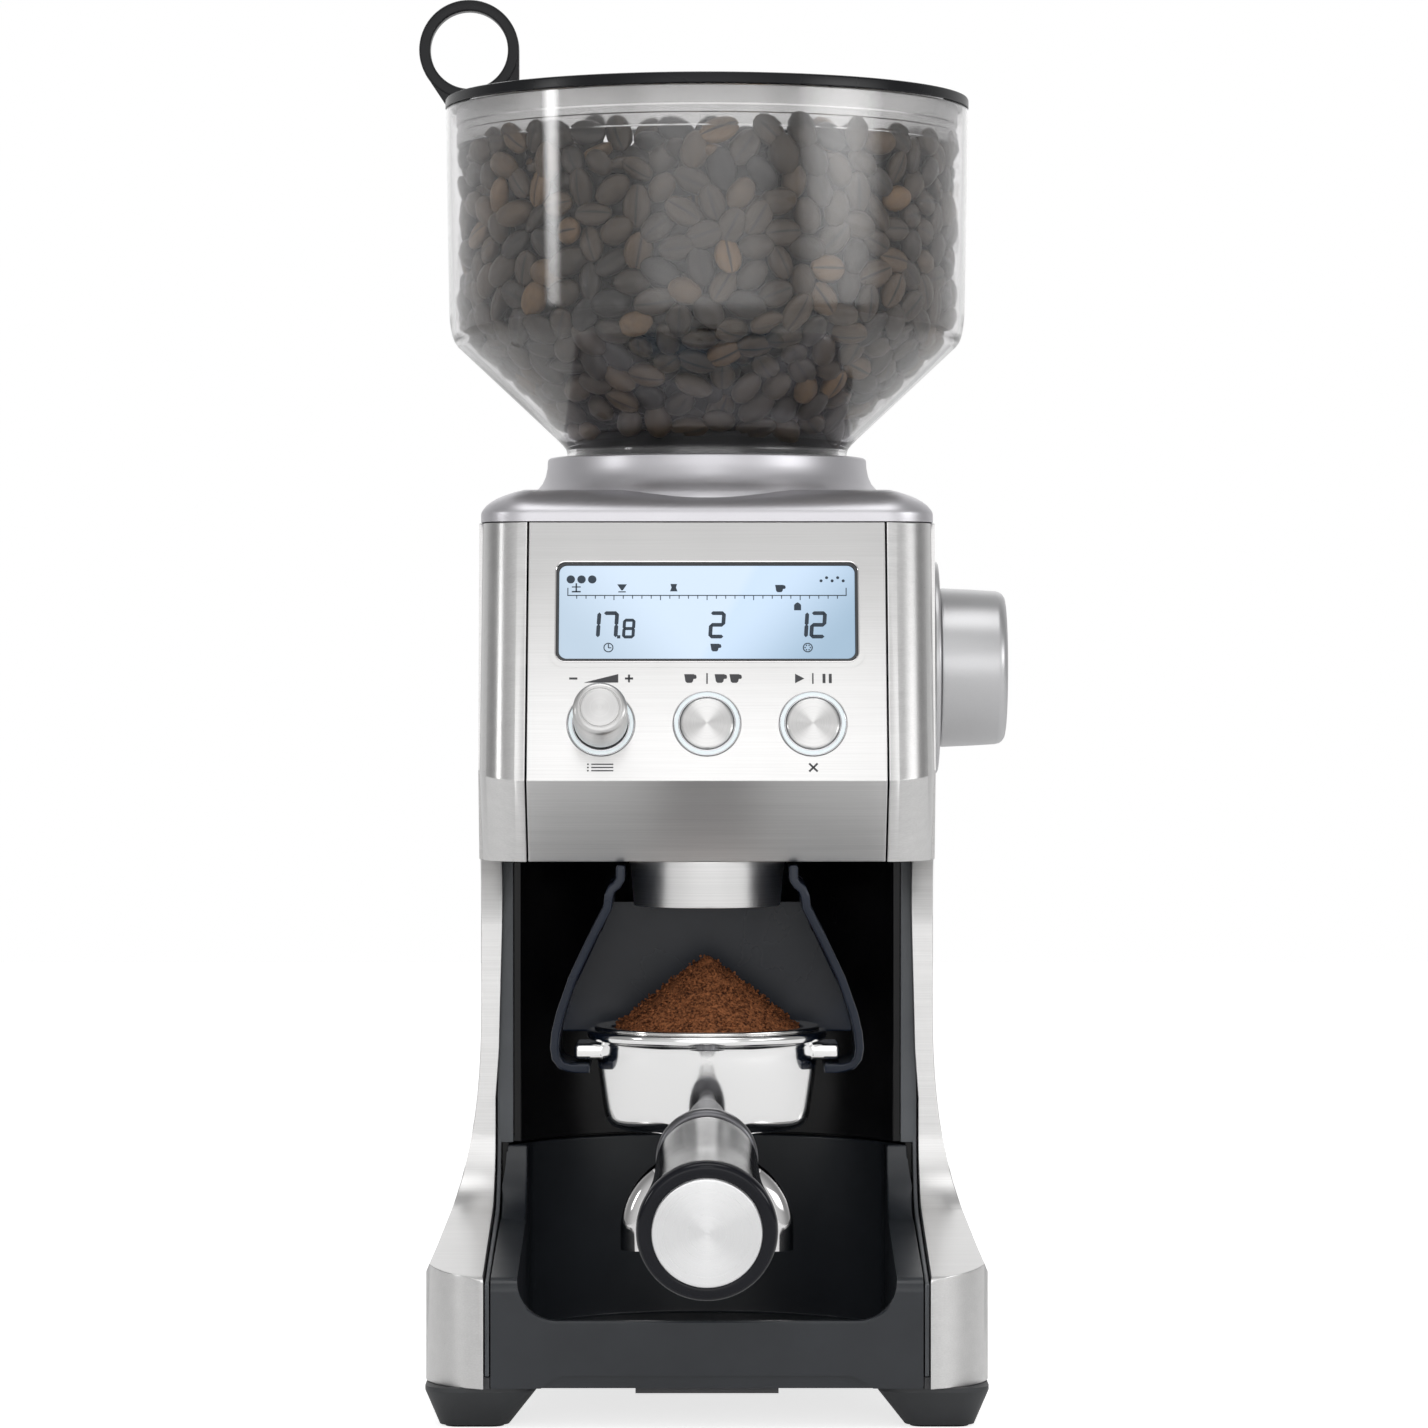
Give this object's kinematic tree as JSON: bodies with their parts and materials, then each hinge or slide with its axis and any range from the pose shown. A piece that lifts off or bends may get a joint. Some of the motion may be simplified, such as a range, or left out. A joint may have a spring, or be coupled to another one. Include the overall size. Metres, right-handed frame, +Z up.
{
  "type": "burr coffee grinder",
  "caption": "Free-standing conical burr coffee grinder: steel case with tilted control panel, clear hopper, side dial, cradle with docked twin-spout filter holder, pull-out tray.",
  "frame": {"origin": "middle of the whole object's footprint, on the surface it stands on; the burr axis stands 30.7 mm behind it", "axes": "+Z up along the burr axis, -Y out of the front panel, +X to the viewer's right, where the grind size dial is"},
  "size_m": [0.1651, 0.3076, 0.3903],
  "materials": {
    "brushed_steel": "fine straight brushing",
    "silver_paint": "satin metallic paint",
    "rear_plastic": "fine grain",
    "foot_plastic": "fine grain",
    "pad_rubber": "matt",
    "liner_plastic": "smooth black",
    "trim_plastic": "fine grain",
    "tray_plastic": "fine grain",
    "cradle_plastic": "satin",
    "frame_plastic": "smooth",
    "display_glass": "clear over a lit display",
    "display_white": "matt",
    "board_green": "solder resist",
    "ring_chrome": "bright",
    "dial_aluminium": "satin",
    "button_steel": "spun",
    "motor_steel": "grey",
    "mount_rubber": "matt",
    "gearbox_plastic": "matt",
    "bearing_bronze": "sintered",
    "collar_steel": "satin",
    "switch_plastic": "matt",
    "screw_steel": "plated",
    "shaft_steel": "ground",
    "ring_plastic": "matt",
    "burr_steel": "hardened",
    "gear_plastic": "matt",
    "pinion_brass": "cut",
    "hopper_clear": "smoky clear plastic",
    "hopper_dark": "matt",
    "lid_smoke": "dark smoky plastic",
    "seal_clear": "translucent",
    "holder_chrome": "polished",
    "basket_steel": "drawn",
    "grip_plastic": "satin black",
    "end_steel": "spun disc"
  },
  "bodies": {
    "housing": {"left_side_panel": "brushed_steel", "right_side_panel": "brushed_steel", "front_panel": "brushed_steel", "top_cap": "silver_paint", "rear_cover": "rear_plastic", "base_plate": "rear_plastic", "feet": "foot_plastic", "foot_pads": "pad_rubber", "recess_liner": "liner_plastic", "recess_trims": "trim_plastic", "display_frame": "frame_plastic", "display_window": "display_glass", "display_module": "display_white", "control_board": "board_green", "power_board": "board_green", "control_rings": "ring_chrome", "dial_bezel": "dial_aluminium", "motor_case": "motor_steel", "motor_mounts": "mount_rubber", "cord_gland": "mount_rubber", "gearbox_housing": "gearbox_plastic", "gearbox_cover": "gearbox_plastic", "grinding_chamber": "gearbox_plastic", "grounds_chute": "gearbox_plastic", "shaft_bearings": "bearing_bronze", "outlet_collar": "collar_steel", "microswitches": "switch_plastic", "case_screws": "screw_steel", "paddle_pin": "screw_steel", "encoder": "screw_steel"},
    "knob_plunger": {"encoder_shaft": "screw_steel"},
    "amount_knob": {"amount_knob": "button_steel"},
    "shots_button": {"shots_button": "button_steel"},
    "start_button": {"start_button": "button_steel"},
    "size_dial": {"size_dial": "dial_aluminium", "dial_shaft": "shaft_steel"},
    "adjusting_ring": {"adjusting_ring": "ring_plastic", "burr_carrier": "gearbox_plastic", "ring_burr": "burr_steel"},
    "burr_drive": {"cone_burr": "burr_steel", "burr_shaft": "shaft_steel", "drive_gear": "gear_plastic", "impeller": "gearbox_plastic"},
    "idler": {"idler_gear": "gear_plastic"},
    "motor_rotor": {"motor_shaft": "shaft_steel", "motor_pinion": "pinion_brass"},
    "hopper": {"hopper": "hopper_clear", "hopper_base": "hopper_dark"},
    "hopper_lock": {"hopper_lock": "hopper_dark"},
    "lid": {"lid": "lid_smoke", "lid_seal": "seal_clear"},
    "drip_tray": {"drip_tray": "tray_plastic"},
    "cradle": {"cradle": "cradle_plastic"},
    "start_paddle": {"start_paddle": "cradle_plastic"},
    "filter_holder": {"filter_holder": "holder_chrome", "filter_basket": "basket_steel", "holder_spouts": "holder_chrome", "handle_ferrule": "holder_chrome", "handle_grip": "grip_plastic", "handle_end": "end_steel"}
  },
  "joints": [
    {"name": "knob_press", "type": "slide", "parent": "housing", "child": "knob_plunger", "axis": [0, 0.9516, -0.3072], "range_m": [0, 0.0008], "stiffness_N_per_m": 900},
    {"name": "knob_turn", "type": "hinge", "parent": "knob_plunger", "child": "amount_knob", "pos_m": [-0.0285, -0.04188, 0.18743], "axis": [0, -0.9516, 0.3072], "continuous": true},
    {"name": "shots_press", "type": "slide", "parent": "housing", "child": "shots_button", "axis": [0, 0.9516, -0.3072], "range_m": [0, 0.0012], "stiffness_N_per_m": 900},
    {"name": "start_press", "type": "slide", "parent": "housing", "child": "start_button", "axis": [0, 0.9516, -0.3072], "range_m": [0, 0.0012], "stiffness_N_per_m": 900},
    {"name": "dial_turn", "type": "hinge", "parent": "housing", "child": "size_dial", "pos_m": [0.07, 0.0307, 0.2022], "axis": [1, 0, 0], "range_deg": [-247.5, 52.5]},
    {"name": "ring_turn", "type": "hinge", "parent": "housing", "child": "adjusting_ring", "pos_m": [0, 0.0307, 0.2142], "axis": [0, 0, 1], "range_deg": [-7.2, 33.2]},
    {"name": "burr_spin", "type": "hinge", "parent": "housing", "child": "burr_drive", "pos_m": [0, 0.0307, 0.1822], "axis": [0, 0, 1], "continuous": true},
    {"name": "idler_spin", "type": "hinge", "parent": "housing", "child": "idler", "pos_m": [0, 0.0647, 0.1672], "axis": [0, 0, 1], "continuous": true},
    {"name": "motor_spin", "type": "hinge", "parent": "housing", "child": "motor_rotor", "pos_m": [0, 0.0997, 0.1122], "axis": [0, 0, 1], "continuous": true},
    {"name": "hopper_lift", "type": "slide", "parent": "housing", "child": "hopper", "axis": [0, 0, 1], "range_m": [0, 0.12]},
    {"name": "lock_turn", "type": "hinge", "parent": "hopper", "child": "hopper_lock", "pos_m": [0, 0.0307, 0.2722], "axis": [0, 0, 1], "range_deg": [0, 90]},
    {"name": "lid_lift", "type": "slide", "parent": "hopper", "child": "lid", "axis": [0, 0, 1], "range_m": [0, 0.08]},
    {"name": "tray_slide", "type": "slide", "parent": "housing", "child": "drip_tray", "axis": [0, -1, 0], "range_m": [0, 0.05]},
    {"name": "cradle_slide", "type": "slide", "parent": "housing", "child": "cradle", "axis": [0, -1, 0], "range_m": [0, 0.09]},
    {"name": "paddle_swing", "type": "hinge", "parent": "housing", "child": "start_paddle", "pos_m": [0, 0.0341, 0.1463], "axis": [1, 0, 0], "range_deg": [0, 8], "stiffness_Nm_per_rad": 0.05},
    {"name": "holder_slide", "type": "slide", "parent": "cradle", "child": "filter_holder", "axis": [0, -1, 0], "range_m": [0, 0.1]}
  ],
  "couplings": [
    {"joint": "ring_turn", "follows": "dial_turn", "ratio": -0.13333},
    {"joint": "idler_spin", "follows": "burr_spin", "ratio": -1.8333},
    {"joint": "motor_spin", "follows": "burr_spin", "ratio": 7.3333}
  ]
}
